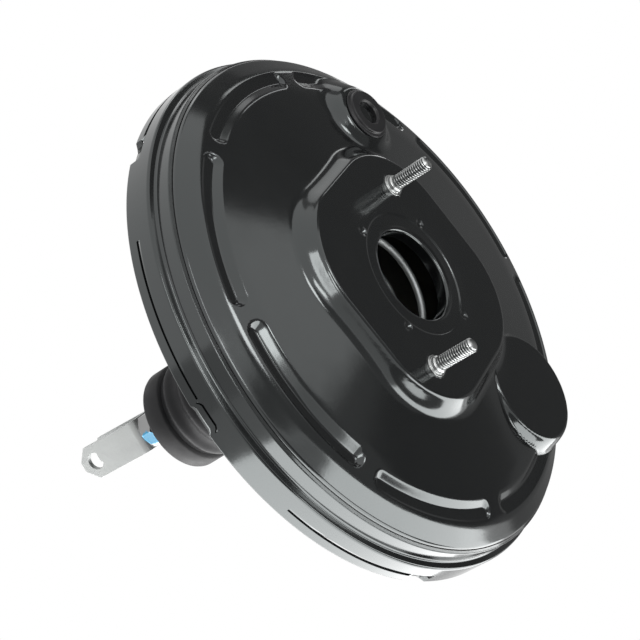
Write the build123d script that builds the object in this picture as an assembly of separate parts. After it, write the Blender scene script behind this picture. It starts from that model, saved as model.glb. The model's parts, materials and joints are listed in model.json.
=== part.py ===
from build123d import *
import math
import os

# A single-diaphragm vacuum brake booster, in millimetres. Every piece is drawn along its own axis: z runs
# forward from the bulkhead face to the master cylinder, x to the right and y up the stud line. TO_PART_FRAME
# then turns forward into -Y and the stud line into +Z, with the origin at the middle of the bulkhead face.
TO_PART_FRAME = Rotation(90, 0, 0)

# Sheet and rubber thicknesses
front_wall = 1.6
rear_wall = 1.8
plate_wall = 1.2
stiffener_wall = 2.5
rubber_wall = 1.8

# Clearances
running_gap = 0.05
slip_gap = 0.15
seat_gap = 0.3
loose_gap = 0.5

# Drum, measured along the axis from the bulkhead face
drum_radius = 150.0
bulkhead_face_radius = 84.0
rear_wall_inset = 12.0
rear_cone_length = 31.0
rear_wall_length = 14.0
skirt_length = 8.0
band_step = 4.2
band_step_length = 2.8
upper_band_length = 8.3
rim_step = 1.2
rim_step_length = 1.3
rim_wall_length = 1.6
shoulder_width = 10.9
shoulder_height = 7.2
face_edge_width = 15.7
face_edge_rise = 4.1
platform_foot_radius = 77.0
face_rise = 6.5
face_end_radius = 50.0
band_bend = 1.9
shoulder_bend = 2.6
knuckle_bend = 8.0
crest_bend = 7.0

# Pressed channels of the face
channel_count = 8
channel_past_crest = 10.5
channel_turn = -1.3
channel_half_angle = 19.3
channel_floor_width = 6.0
channel_wall_angle = 40.0
channel_depth = 4.2

# Raised platform for the master cylinder
platform_height = 8.6
platform_half_width = 64.0
platform_corner = 45.0
platform_foot_spread = 7.0
platform_edge = 3.0
collar_radius = 26.1
collar_depth = 7.0
collar_lip = 1.2
land_radius = 35.5
land_depth = 0.5

# Round bulge and the boss of the vacuum port
bulge_x = 93.0
bulge_y = -42.0
bulge_radius = 33.0
bulge_foot_radius = 41.0
bulge_length = 24.5
bulge_above_crest = 7.0
bulge_edge = 5.0
port_inside_crest = 13.0
port_boss_radius = 17.0
port_boss_foot = 22.0
port_boss_length = 10.0
port_above_crest = 8.5
port_hole_radius = 11.0

# Grommet of the vacuum port
grommet_bore = 6.5
grommet_mouth = 7.6
grommet_mouth_depth = 1.0
grommet_flange_width = 2.2
grommet_flange_thickness = 3.0
grommet_skirt_width = 4.0
grommet_skirt_thickness = 1.0
grommet_lip_width = 2.4
grommet_lip_taper = 0.4
grommet_lip_start = 1.6
grommet_lip_height = 3.0

# Lanced slots and tongues that lock the two halves
slot_count = 6
slot_first_angle = 178.5
slot_angle = 33.2
slot_width = 2.3
tongue_angle = 6.5
tongue_reach = 4.5
tongue_window = 3.6
tongue_overlap_angle = 0.25
slot_behind_flange = 0.2

# Studs
stud_radius = 4.0
front_stud_spacing = 109.72
front_stud_length = 25.5
front_stud_collar_radius = 6.2
front_stud_collar_length = 1.2
stud_head_radius = 8.0
stud_head_length = 3.0
stud_shank_radius = 4.5
stud_tip_chamfer = 1.0
stud_seat_radius = 6.8
stud_seat_depth = 0.3
rear_stud_spacing_x = 80.0
rear_stud_spacing_y = 60.0
rear_stud_length = 22.0

# Neck, its seal and its guide
neck_radius = 25.5
neck_length = 38.0
neck_lip = 2.6
seal_length = 8.2
seal_outer_wall = 1.5
seal_back_wall = 3.0
seal_lip_root = 1.6
seal_lip_tip = 1.2
seal_lip_inset = 2.0
guide_length = 8.0

# Power piston
tube_radius = 19.0
tube_bore = 16.0
tube_length = 86.5
hub_radius = 35.0
hub_seat_radius = 24.0
hub_seat_start = 7.8
hub_start = 14.0
hub_length = 12.0
bead_radius = 30.0
pocket_radius = 14.0
disc_thickness = 4.0
rod_head_thickness = 3.0
core_end = -16.0
plate_edge_gap = 24.0
plate_cone_width = 34.0
plate_cone = 0.574
roll_height = 18.0
roll_edge_lift = 3.5
roll_edge_width = 3.0
roll_half_gap = 4.5
roll_side_gap = 5.5
roll_foot_gap = 3.5
web_overlap = 1.0
web_reach = 4.0
outer_bead_width = 5.5

# Output rod
output_rod_radius = 6.5
output_tip_radius = 4.5
output_tip_length = 14.0
output_rod_length = 47.0
output_tip_chamfer = 2.0
retainer_bore_gap = 1.5
retainer_rim = 3.0

# Control valve
plunger_radius = 8.0
plunger_groove_radius = 5.0
valve_travel = 2.0
plunger_tip_gap = 2.3
plunger_tip_chamfer = 1.0
plunger_tail = 1.2
key_thickness = 2.0
key_half_length = 21.5
key_half_width = 8.6
ball_radius = 5.0
ball_z = -8.0
rod_neck_radius = 4.0
rod_neck_length = 22.0
poppet_gap = 1.5
poppet_thickness = 2.5
poppet_bore = 7.0
poppet_lip_radius = 14.5
poppet_tube_radius = 13.0
poppet_tube_length = 14.0
poppet_flange_length = 3.0
poppet_tube_wall = 1.5
poppet_retainer_length = 8.0
valve_spring_seat_radius = 9.8
valve_spring_seat_thickness = 1.5

# Springs
return_wire = 4.0
return_mean_radius = 32.0
return_turns = 5
poppet_wire = 1.0
poppet_spring_radius = 8.6
poppet_spring_turns = 4
rod_wire = 1.6
rod_spring_big_radius = 12.6
rod_spring_small_radius = 8.6
rod_spring_length = 15.0
rod_spring_turns = 4

# Filter, silencer and boot
filter_length = 10.0
silencer_length = 10.0
filter_bore = 10.3
boot_radius = 30.0
boot_valley = 2.4
boot_wall = 1.8
boot_folds = 9
boot_collar_length = 6.0
boot_start = 3.0
boot_rear_band = 9.0
boot_end_wall = 2.5
boot_grip_length = 6.0
boot_band_step = 0.8
boot_end_chamfer = 1.2

# Input rod, lock nut and fork
rod_radius = 6.0
rod_tilt = 2.6
fork_turn = 36.5
fork_behind_boot = 23.5
fork_half_width = 9.5
fork_wall = 3.0
fork_height = 20.0
fork_bend = 5.0
fork_pin_radius = 5.2
fork_pin_distance = 39.3
fork_end_distance = 10.5
fork_chamfer = 7.3
thread_past_fork = 8.0
nut_across_flats = 19.0
nut_length = 8.5
nut_chamfer = 1.2
rod_end_chamfer = 1.5

# Places worked out along the axis
flange_z = rear_cone_length + rear_wall_length
flange_front_z = flange_z + rear_wall
front_shell_start = flange_z - skirt_length
bead_thickness = 3.8
lower_step_z = flange_front_z + bead_thickness + front_wall
upper_band_z = lower_step_z + band_step_length
rim_step_z = upper_band_z + upper_band_length
rim_wall_z = rim_step_z + rim_step_length
shoulder_z = rim_wall_z + rim_wall_length
knuckle_z = shoulder_z + shoulder_height
crest_z = knuckle_z + face_edge_rise
platform_foot_z = crest_z + face_rise
platform_z = platform_foot_z + platform_height
upper_radius = drum_radius - band_step
rim_radius = upper_radius - rim_step
knuckle_radius = rim_radius - shoulder_width
crest_radius = knuckle_radius - face_edge_width
face_slope = face_rise / (crest_radius - platform_foot_radius)
face_end_z = crest_z + face_slope * (crest_radius - face_end_radius)
drum_bore = drum_radius - front_wall
rear_wall_radius = drum_radius - rear_wall_inset
channel_radius = crest_radius + channel_past_crest
port_distance = crest_radius - port_inside_crest
plate_radius = rear_wall_radius - plate_edge_gap
plate_flat_radius = plate_radius - plate_cone_width
hub_front_z = hub_start + hub_length
retainer_front_z = hub_front_z + plate_wall
stiffener_front_z = platform_z - front_wall
stiffener_rear_z = stiffener_front_z - stiffener_wall
pocket_z = hub_front_z - rod_head_thickness - disc_thickness
poppet_z = core_end - poppet_gap
poppet_back_z = poppet_z - poppet_thickness
poppet_flange_z = poppet_back_z - poppet_tube_length
poppet_end_z = poppet_flange_z - poppet_flange_length
boot_end_z = -(tube_length + boot_end_wall)
fork_base_z = boot_end_z - fork_behind_boot


def save(node, shape):
    """Turn a finished node into the part's frame and write it."""
    export_step(TO_PART_FRAME * shape, f"parts/{node}.step")


def turned(points, arc=360):
    """Solid of revolution about z from a closed outline of (radius, z) corners."""
    outline = Polyline(*[(radius, 0, z) for radius, z in points], close=True)
    return revolve(make_face(outline), Axis.Z, arc)


def ring(inner, outer, start, end):
    """Plain ring between two radii and two heights."""
    return turned([(inner, start), (outer, start), (outer, end), (inner, end)])


def turned_block(inner, outer, start, end, arc):
    """Part of a ring, from angle 0 round to the arc's end."""
    return turned([(inner, start), (outer, start), (outer, end), (inner, end)], arc)


def rod(radius, start, end, x=0.0, y=0.0):
    """Round bar along z."""
    low, high = min(start, end), max(start, end)
    return Pos(x, y, low) * extrude(Circle(radius), high - low)


def shifted(points, distance):
    """Move an open outline to its left by a distance, with mitred corners."""
    normals = []
    for (r0, z0), (r1, z1) in zip(points, points[1:]):
        length = math.hypot(r1 - r0, z1 - z0)
        normals.append(((z0 - z1) / length, (r1 - r0) / length))
    moved = []
    for index, (radius, z) in enumerate(points):
        before = normals[max(index - 1, 0)]
        after = normals[min(index, len(normals) - 1)]
        scale = distance / (1 + before[0] * after[0] + before[1] * after[1])
        moved.append((radius + (before[0] + after[0]) * scale, z + (before[1] + after[1]) * scale))
    return moved


def sheet(points, wall, arc=360):
    """Thin turned sheet: the outline and its copy moved to the left by the wall."""
    return turned(points + shifted(points, wall)[::-1], arc)


def drum_form(inset):
    """Solid inside the drum's surface, or inside its inner surface when inset is the wall."""
    corners = [
        (drum_radius, front_shell_start),
        (drum_radius, lower_step_z),
        (upper_radius, upper_band_z),
        (upper_radius, rim_step_z),
        (rim_radius, rim_wall_z),
        (rim_radius, shoulder_z),
        (knuckle_radius, knuckle_z),
        (crest_radius, crest_z),
        (face_end_radius, face_end_z),
        (0.0, face_end_z),
    ]
    convex = [band_bend, 0, band_bend / 2, 0, shoulder_bend, knuckle_bend, crest_bend, crest_bend]
    concave = [0, band_bend, 0, band_bend / 2, 0, 0, 0, 0]
    bends = [max(out - inset, 0.3) if out else back + inset for out, back in zip(convex, concave)]
    line = [(radius, 0, z) for radius, z in shifted(corners, inset)]
    surface = FilletPolyline(*line, radius=bends)
    start, end = line[0], line[-1]
    closing = Polyline(end, (0, 0, start[2]), start)
    return revolve(make_face(surface + closing), Axis.Z)


def platform_form(inset):
    """Raised rounded diamond with sloping walls."""
    top_half = platform_half_width - inset
    foot_half = top_half + platform_foot_spread
    top_z = platform_z - inset
    foot_z = top_z - platform_height
    corner = platform_corner - inset
    foot = Pos(0, 0, foot_z) * Rot(0, 0, 45) * RectangleRounded(
        2 * foot_half, 2 * foot_half, corner + platform_foot_spread)
    top = Pos(0, 0, top_z) * Rot(0, 0, 45) * RectangleRounded(2 * top_half, 2 * top_half, corner)
    block = loft([foot, top])
    return fillet(block.faces().sort_by(Axis.Z)[-1].edges(), platform_edge - inset)


def boss_form(x, y, top_radius, foot_radius, length, top_z, edge, inset):
    """Round raised form with a sloping flank and a rounded upper edge."""
    slope = (foot_radius - top_radius) / length
    cone = turned([
        (0, top_z - inset),
        (top_radius - inset, top_z - inset),
        (foot_radius - inset + slope * inset, top_z - length),
        (0, top_z - length),
    ])
    rounded = fillet(cone.edges().group_by(Axis.Z)[-1], max(edge - inset, 0.4))
    return Pos(x, y, 0) * rounded


def channel_cutter(inset):
    """One pressed channel of the face: an arc-shaped trough with round ends, centred on angle 0."""
    lean = math.tan(math.radians(channel_wall_angle))
    floor_z = crest_z - channel_depth - inset
    height = platform_z - floor_z
    floor_half = channel_floor_width / 2 + inset * (math.hypot(1, lean) - lean)
    top_half = floor_half + lean * height
    section = [
        (channel_radius - floor_half, floor_z),
        (channel_radius + floor_half, floor_z),
        (channel_radius + top_half, floor_z + height),
        (channel_radius - top_half, floor_z + height),
    ]
    end_angle = channel_half_angle - math.degrees(channel_floor_width / channel_radius)
    trough = Rot(0, 0, -end_angle) * turned(section, 2 * end_angle)
    end = Pos(channel_radius, 0, 0) * turned([
        (0, floor_z), (floor_half, floor_z), (top_half, floor_z + height), (0, floor_z + height)])
    return trough + [Rot(0, 0, angle) * end for angle in (-end_angle, end_angle)]


def pressed_form(inset):
    """All the pressed forms of the front shell together."""
    body = drum_form(inset)
    cutter = channel_cutter(inset)
    turns = [channel_turn + index * 360 / channel_count for index in range(channel_count)]
    body -= [Rot(0, 0, turn) * cutter for turn in turns]
    body += platform_form(inset)
    body += boss_form(bulge_x, bulge_y, bulge_radius, bulge_foot_radius, bulge_length,
                      crest_z + bulge_above_crest, bulge_edge, inset)
    body += boss_form(0, port_distance, port_boss_radius, port_boss_foot, port_boss_length,
                      crest_z + port_above_crest, bulge_edge / 2, inset)
    return body


def make_front_shell():
    """Pressed front half: stepped side, channels, platform, collar, bosses, slots and tongues."""
    shell = pressed_form(0) - pressed_form(front_wall)
    shell -= ring(0, land_radius, platform_z - land_depth, platform_z + 1)
    shell -= rod(collar_radius + front_wall, stiffener_rear_z, platform_z + 1)
    collar_face = platform_z - land_depth
    collar = ring(collar_radius, collar_radius + front_wall, collar_face - collar_depth, collar_face)
    shell += fillet(collar.edges().group_by(Axis.Z)[-1].sort_by(SortBy.RADIUS)[0], collar_lip)
    for side in (-1, 1):
        y = side * front_stud_spacing / 2
        shell -= rod(stud_shank_radius + slip_gap, stiffener_rear_z, platform_z + 1, y=y)
        shell -= rod(stud_seat_radius, platform_z - stud_seat_depth, platform_z + 1, y=y)
    shell -= rod(port_hole_radius, platform_foot_z - port_boss_length, platform_z, y=port_distance)
    slot_end = flange_z - slot_behind_flange
    slot_start = slot_end - slot_width
    slot = turned_block(drum_bore - 1, drum_radius + 1, slot_start, slot_end, slot_angle)
    window = turned_block(drum_bore - 1, drum_radius + 1, slot_end - tongue_window, slot_end, tongue_angle)
    tongue_width = tongue_angle + 2 * tongue_overlap_angle
    tongue = turned_block(drum_bore - tongue_reach, drum_radius - front_wall / 4, slot_end - front_wall,
                          slot_end, tongue_width)
    firsts = [slot_first_angle + index * 360 / slot_count for index in range(slot_count)]
    window_offset = slot_angle + 2 * tongue_overlap_angle
    shell -= [Rot(0, 0, first) * slot for first in firsts]
    shell -= [Rot(0, 0, first + window_offset) * window for first in firsts]
    return shell + [Rot(0, 0, first + window_offset - tongue_overlap_angle) * tongue for first in firsts]


def make_rear_shell():
    """Pressed rear half: clamped flange, wall, cone, bulkhead face and neck with its inward lip."""
    corners = [
        (drum_bore - slip_gap, flange_z),
        (rear_wall_radius, flange_z),
        (rear_wall_radius, rear_cone_length),
        (bulkhead_face_radius, 0),
        (neck_radius, 0),
        (neck_radius, -neck_length),
        (neck_radius - rear_wall - neck_lip, -neck_length),
    ]
    shell = sheet(corners, -rear_wall)
    for x, y in rear_stud_places():
        shell -= rod(stud_shank_radius + slip_gap, -1, rear_wall + 1, x, y)
    return shell


def rear_stud_places():
    """Centres of the four bulkhead studs."""
    return [(sx * rear_stud_spacing_x / 2, sy * rear_stud_spacing_y / 2) for sx in (-1, 1) for sy in (-1, 1)]


def make_front_stiffener():
    """Plate inside the platform that carries the master cylinder studs."""
    half = platform_half_width - 2 * front_wall - loose_gap
    outline = Rot(0, 0, 45) * RectangleRounded(2 * half, 2 * half, platform_corner - 2 * front_wall)
    plate = Pos(0, 0, stiffener_rear_z) * extrude(outline, stiffener_wall)
    plate -= rod(collar_radius + front_wall + loose_gap, stiffener_rear_z - 1, platform_z)
    for side in (-1, 1):
        plate -= rod(stud_shank_radius + slip_gap, stiffener_rear_z - 1, platform_z,
                     y=side * front_stud_spacing / 2)
    return plate


def make_rear_stiffener():
    """Plate inside the bulkhead face that carries the bulkhead studs."""
    margin = 3 * stud_head_radius
    outline = RectangleRounded(rear_stud_spacing_x + margin, rear_stud_spacing_y + margin, stud_head_radius)
    plate = Pos(0, 0, rear_wall) * extrude(outline, stiffener_wall)
    plate -= rod(neck_radius + 2 * rear_wall, 0, rear_wall + stiffener_wall + 1)
    for x, y in rear_stud_places():
        plate -= rod(stud_shank_radius + slip_gap, 0, rear_wall + stiffener_wall + 1, x, y)
    return plate


def stud(head_z, seat_z, face_z, tip_z):
    """Riveted stud along z: flat head, shank through the sheets, and a slimmer end with a chamfer."""
    way = 1 if tip_z > head_z else -1
    return turned([
        (0, head_z), (stud_head_radius, head_z), (stud_head_radius, seat_z), (stud_shank_radius, seat_z),
        (stud_shank_radius, face_z), (stud_radius, face_z), (stud_radius, tip_z - way * stud_tip_chamfer),
        (stud_radius - stud_tip_chamfer, tip_z), (0, tip_z)])


def make_front_studs():
    """Two studs for the master cylinder, each with a collar in its seat on the platform."""
    seat_z = platform_z - stud_seat_depth
    collar_end = platform_z + front_stud_collar_length
    head_z = stiffener_rear_z - stud_head_length
    single = stud(head_z, stiffener_rear_z, seat_z, platform_z + front_stud_length)
    single += ring(stud_radius / 2, front_stud_collar_radius, seat_z, collar_end)
    return Compound([Pos(0, side * front_stud_spacing / 2, 0) * single for side in (-1, 1)])


def make_rear_studs():
    """Four studs for the bulkhead."""
    seat = rear_wall + stiffener_wall
    single = stud(seat + stud_head_length, seat, 0, -rear_stud_length)
    return Compound([Pos(x, y, 0) * single for x, y in rear_stud_places()])


def make_grommet():
    """Rubber grommet with a stepped face, a groove for the shell's edge and an inner flange."""
    face = crest_z + port_above_crest
    under = face - front_wall
    flange_back = under - grommet_flange_thickness
    flange = port_hole_radius + grommet_flange_width
    skirt = port_hole_radius + grommet_skirt_width
    lip = port_hole_radius + grommet_lip_width
    top = face + grommet_lip_height
    profile = [
        (grommet_bore, flange_back), (flange, flange_back), (flange, under),
        (port_hole_radius - slip_gap, under), (port_hole_radius - slip_gap, face),
        (skirt, face), (skirt, face + grommet_skirt_thickness),
        (lip, face + grommet_lip_start), (lip - grommet_lip_taper, top),
        (grommet_mouth, top), (grommet_bore, top - grommet_mouth_depth),
    ]
    return Pos(0, port_distance, 0) * turned(profile)


def make_neck_seal():
    """Lip seal that rests against the neck's inward lip."""
    outer = neck_radius - rear_wall
    inner = tube_radius + seat_gap
    back = -neck_length + rear_wall
    front = back + seal_length
    groove = back + seal_back_wall
    lip_end = front - seal_lip_inset
    return turned([
        (inner, back), (outer, back), (outer, front), (outer - seal_outer_wall, front),
        (outer - seal_outer_wall, groove), (inner + seal_lip_root, groove), (inner + seal_lip_tip, lip_end),
        (inner, lip_end)])


def make_neck_guide():
    """Bearing ring of the valve body's neck."""
    back = -neck_length + rear_wall + seal_length
    return ring(tube_radius + running_gap, neck_radius - rear_wall, back, back + guide_length)


def make_valve_body():
    """Moulded hub and neck of the power piston, with its valve chamber, plunger bore and key slot."""
    body = turned([
        (tube_bore, -tube_length), (tube_radius, -tube_length), (tube_radius, hub_seat_start),
        (hub_seat_radius, hub_seat_start), (hub_seat_radius, hub_start), (hub_radius, hub_start),
        (hub_radius, hub_front_z), (pocket_radius, hub_front_z), (pocket_radius, pocket_z),
        (plunger_radius + running_gap, pocket_z), (plunger_radius + running_gap, core_end),
        (tube_bore, core_end)])
    slot = Box(3 * hub_seat_radius, 2 * (key_half_width + slip_gap), key_thickness + 2 * slip_gap)
    return body - slot


def diaphragm_line():
    """Middle course of plate and diaphragm: flat, cone, and the plate's outer edge."""
    rise = (plate_radius - plate_flat_radius) * plate_cone
    return [(hub_seat_radius, hub_start), (plate_flat_radius, hub_start), (plate_radius, hub_start + rise)]


def make_diaphragm_plate():
    """Pressed support plate in front of the diaphragm."""
    line = diaphragm_line()
    line[0] = (hub_seat_radius + slip_gap, hub_start)
    return sheet(line, -plate_wall)


def make_diaphragm():
    """Rolling rubber diaphragm with an inner and an outer bead."""
    plate_back = shifted(diaphragm_line(), -plate_wall)
    edge_r, edge_z = plate_back[-1]
    roll_r = (edge_r + rear_wall_radius) / 2
    top_z = edge_z + roll_height
    foot_z = flange_front_z + rubber_wall + seat_gap
    line = [
        (bead_radius - web_overlap, plate_back[0][1]),
        plate_back[1],
        (edge_r, edge_z),
        (edge_r + roll_edge_width, edge_z + roll_edge_lift),
        (edge_r + roll_half_gap, top_z),
        (roll_r, top_z + roll_half_gap),
        (rear_wall_radius - roll_side_gap, top_z),
        (rear_wall_radius - roll_foot_gap, foot_z),
        (drum_bore - web_reach, foot_z),
    ]
    web = sheet(line, -rubber_wall)
    inner_bead = ring(hub_seat_radius + slip_gap, bead_radius, hub_start - plate_wall - bead_thickness,
                      hub_start - plate_wall)
    outer_bead = ring(drum_bore - outer_bead_width, drum_bore - slip_gap, flange_front_z,
                      flange_front_z + bead_thickness)
    return web + inner_bead + outer_bead


def make_diaphragm_retainer():
    """Push-on ring behind the diaphragm's inner bead."""
    back = hub_start - 2 * plate_wall - bead_thickness
    return ring(hub_seat_radius + slip_gap, bead_radius - web_overlap, back, back + plate_wall)


def make_reaction_disc():
    """Rubber disc at the bottom of the hub's pocket."""
    return rod(pocket_radius - slip_gap, pocket_z, pocket_z + disc_thickness)


def make_output_rod():
    """Push rod with a mushroom head and a slimmer adjusting tip."""
    head = pocket_z + disc_thickness
    end = head + output_rod_length
    shank_end = end - output_tip_length
    return turned([
        (0, head), (pocket_radius - slip_gap, head), (pocket_radius - slip_gap, head + rod_head_thickness),
        (output_rod_radius, head + rod_head_thickness), (output_rod_radius, shank_end),
        (output_tip_radius, shank_end), (output_tip_radius, end - output_tip_chamfer),
        (output_tip_radius - output_tip_chamfer, end), (0, end)])


def make_output_rod_retainer():
    """Pressed cup on the hub that keeps the push rod and seats the return spring."""
    bore = output_rod_radius + retainer_bore_gap
    rim = return_mean_radius + return_wire / 2 + loose_gap
    return turned([
        (bore, hub_front_z), (rim + plate_wall, hub_front_z),
        (rim + plate_wall, retainer_front_z + retainer_rim),
        (rim, retainer_front_z + retainer_rim), (rim, retainer_front_z), (bore, retainer_front_z)])


def coil(start_z, end_z, start_radius, end_radius, wire, turns):
    """Coil spring whose wire just clears its two seats."""
    low = start_z + wire / 2 + seat_gap
    high = end_z - wire / 2 - seat_gap
    cone = math.degrees(math.atan2(end_radius - start_radius, high - low))
    path = Pos(0, 0, low) * Helix(pitch=(high - low) / turns, height=high - low, radius=start_radius,
                                  cone_angle=cone)
    section = Plane(origin=path @ 0, z_dir=path % 0) * Circle(wire / 2)
    return sweep(section, path=path, is_frenet=True)


def make_return_spring():
    """Main spring between the hub's cup and the stiffener behind the platform."""
    return coil(retainer_front_z, stiffener_rear_z, return_mean_radius, return_mean_radius, return_wire,
                return_turns)


def make_plunger():
    """Control valve plunger with its key groove and the socket of the rod's ball."""
    tip = pocket_z - plunger_tip_gap
    back = core_end - plunger_tail
    groove_front = key_thickness / 2 + valve_travel / 2 + loose_gap
    groove_back = -key_thickness / 2 - valve_travel - loose_gap
    body = turned([
        (0, back), (plunger_radius, back), (plunger_radius, groove_back),
        (plunger_groove_radius, groove_back),
        (plunger_groove_radius, groove_front), (plunger_radius, groove_front),
        (plunger_radius, tip - plunger_tip_chamfer), (plunger_radius - plunger_tip_chamfer, tip), (0, tip)])
    body -= Pos(0, 0, ball_z) * Sphere(ball_radius + running_gap * 2)
    mouth = rod_neck_radius + (ball_z - back) * math.tan(math.radians(rod_tilt + 1)) + slip_gap
    return body - rod(mouth, back - 1, ball_z)


def make_stop_key():
    """Flat fork that straddles the plunger's groove and reaches out through the hub."""
    key = Box(2 * key_half_length, 2 * key_half_width, key_thickness)
    gap_half = plunger_groove_radius + slip_gap * 2
    cut_length = 2 * (key_half_length + gap_half)
    cut = Pos(-key_half_length, 0, 0) * Box(cut_length, 2 * gap_half, 2 * key_thickness)
    return key - cut


def make_poppet():
    """Rubber valve: seating lip, thin folding tube and the flange that is clamped in the neck."""
    inner = poppet_tube_radius - poppet_tube_wall
    return turned([
        (poppet_bore, poppet_z), (poppet_lip_radius, poppet_z), (poppet_lip_radius, poppet_back_z),
        (poppet_tube_radius, poppet_back_z), (poppet_tube_radius, poppet_flange_z),
        (tube_bore - slip_gap, poppet_flange_z), (tube_bore - slip_gap, poppet_end_z), (inner, poppet_end_z),
        (inner, poppet_back_z), (poppet_bore, poppet_back_z)])


def make_poppet_retainer():
    """Pressed sleeve that clamps the poppet's flange and seats the rod's spring."""
    outer = tube_bore - slip_gap
    end = poppet_end_z - poppet_retainer_length
    bore = rod_spring_big_radius - rod_wire
    return turned([
        (bore, poppet_end_z), (outer, poppet_end_z), (outer, end), (outer - plate_wall, end),
        (outer - plate_wall, poppet_end_z - plate_wall), (bore, poppet_end_z - plate_wall)])


def rod_neck_end():
    """Height at which the rod's slim neck meets the poppet spring's seat."""
    return ball_z - rod_neck_length


def make_poppet_spring():
    """Small spring between the poppet and the rod's seat."""
    return coil(rod_neck_end(), poppet_back_z, poppet_spring_radius, poppet_spring_radius, poppet_wire,
                poppet_spring_turns)


def make_rod_spring():
    """Conical spring that brings the pedal rod back."""
    top = poppet_end_z - plate_wall
    return coil(top - rod_spring_length, top, rod_spring_small_radius, rod_spring_big_radius - rod_wire / 2,
                rod_wire, rod_spring_turns)


def make_filter_ring(start, length):
    """Soft ring between the rod and the neck's bore."""
    return ring(filter_bore, tube_bore - slip_gap, start - length, start)


def make_boot():
    """Dust boot: front collar on the neck, folds, rear band, end wall and a grip on the neck of the hub."""
    folds_start = -(boot_start + boot_collar_length)
    folds_end = boot_end_z + boot_rear_band
    pitch = (folds_start - folds_end) / boot_folds
    valley = boot_radius - boot_valley
    outer = [(valley, -boot_start), (valley, folds_start)]
    for index in range(boot_folds):
        outer.append((boot_radius, folds_start - (index + 0.5) * pitch))
        outer.append((valley, folds_start - (index + 1) * pitch))
    outer += [(boot_radius, folds_end - boot_band_step), (boot_radius, boot_end_z + boot_end_chamfer),
              (boot_radius - boot_end_chamfer, boot_end_z)]
    inner = [(neck_radius, -boot_start), (neck_radius, folds_start)]
    inner += [(radius - boot_wall, z) for radius, z in outer[2:-2]]
    inner[-1] = (boot_radius - boot_wall, folds_end - boot_band_step)
    inner += [
        (boot_radius - boot_wall, -tube_length),
        (tube_radius + boot_wall, -tube_length),
        (tube_radius + boot_wall, -tube_length + boot_grip_length),
        (tube_radius, -tube_length + boot_grip_length),
        (tube_radius, -tube_length),
        (filter_bore, -tube_length),
        (filter_bore, boot_end_z),
    ]
    return turned(outer + inner[::-1])


def on_rod(shape):
    """Turn a piece of the pedal rod about its axis and tip it about the ball, as it hangs at rest."""
    turn = math.radians(fork_turn)
    hinge = Axis((0, 0, ball_z), (math.cos(turn), math.sin(turn), 0))
    return (Rot(0, 0, fork_turn) * shape).rotate(hinge, rod_tilt)


def make_input_rod():
    """Pedal rod: ball, slim neck, two spring seats, shank and threaded end."""
    neck_end = rod_neck_end()
    seat_end = neck_end - valve_spring_seat_thickness
    second = poppet_end_z - plate_wall - rod_spring_length
    second_end = second - valve_spring_seat_thickness
    end = fork_base_z - fork_wall - thread_past_fork
    ball_joint = ball_z - math.sqrt(ball_radius ** 2 - rod_neck_radius ** 2)
    shank = turned([
        (0, ball_joint + 1), (rod_neck_radius, ball_joint + 1), (rod_neck_radius, neck_end),
        (valve_spring_seat_radius, neck_end), (valve_spring_seat_radius, seat_end), (rod_radius, seat_end),
        (rod_radius, second), (valve_spring_seat_radius, second), (valve_spring_seat_radius, second_end),
        (rod_radius, second_end), (rod_radius, end + rod_end_chamfer),
        (rod_radius - rod_end_chamfer, end), (0, end)])
    return on_rod(shank + Pos(0, 0, ball_z) * Sphere(ball_radius))


def make_locknut():
    """Hexagon nut against the fork's base, with both faces chamfered."""
    flat_radius = nut_across_flats / 2
    corner = flat_radius / math.cos(math.radians(30))
    start = fork_base_z
    end = fork_base_z + nut_length
    prism = Pos(0, 0, start) * extrude(RegularPolygon(corner, 6), nut_length)
    cone = turned([
        (rod_radius + running_gap, start), (flat_radius, start), (corner, start + nut_chamfer),
        (corner, end - nut_chamfer), (flat_radius, end), (rod_radius + running_gap, end)])
    return on_rod(prism & cone)


def make_clevis():
    """Stamped fork: base with rounded bends, two side plates with clipped corners, and the pin's hole."""
    end = fork_base_z - fork_pin_distance - fork_end_distance
    half = fork_half_width
    outer = Polyline((-half, 0, end), (-half, 0, fork_base_z), (half, 0, fork_base_z), (half, 0, end),
                     close=True)
    block = make_face(outer)
    corners = [corner for corner in block.vertices() if corner.Z > fork_base_z - 1]
    block = fillet(corners, fork_bend)
    gap_half = half - fork_wall
    inner = Polyline((-gap_half, 0, end - 1), (-gap_half, 0, fork_base_z - fork_wall),
                     (gap_half, 0, fork_base_z - fork_wall), (gap_half, 0, end - 1), close=True)
    gap = make_face(inner)
    gap_corners = [corner for corner in gap.vertices() if corner.Z > end]
    gap = fillet(gap_corners, fork_bend - fork_wall)
    fork = extrude(block - gap, fork_height / 2, dir=(0, 1, 0), both=True)
    flat = fork_height / 2 - fork_chamfer
    side = Polyline(
        (0, -fork_height / 2, fork_base_z + 1), (0, fork_height / 2, fork_base_z + 1),
        (0, fork_height / 2, end + fork_chamfer), (0, flat, end), (0, -flat, end),
        (0, -fork_height / 2, end + fork_chamfer), close=True)
    fork &= extrude(make_face(side), half + 1, dir=(1, 0, 0), both=True)
    fork -= rod(rod_radius + running_gap, fork_base_z - fork_wall - 1, fork_base_z + 1)
    pin = Pos(0, 0, fork_base_z - fork_pin_distance) * Rot(0, 90, 0) * Cylinder(fork_pin_radius, 3 * half)
    return on_rod(fork - pin)


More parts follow.
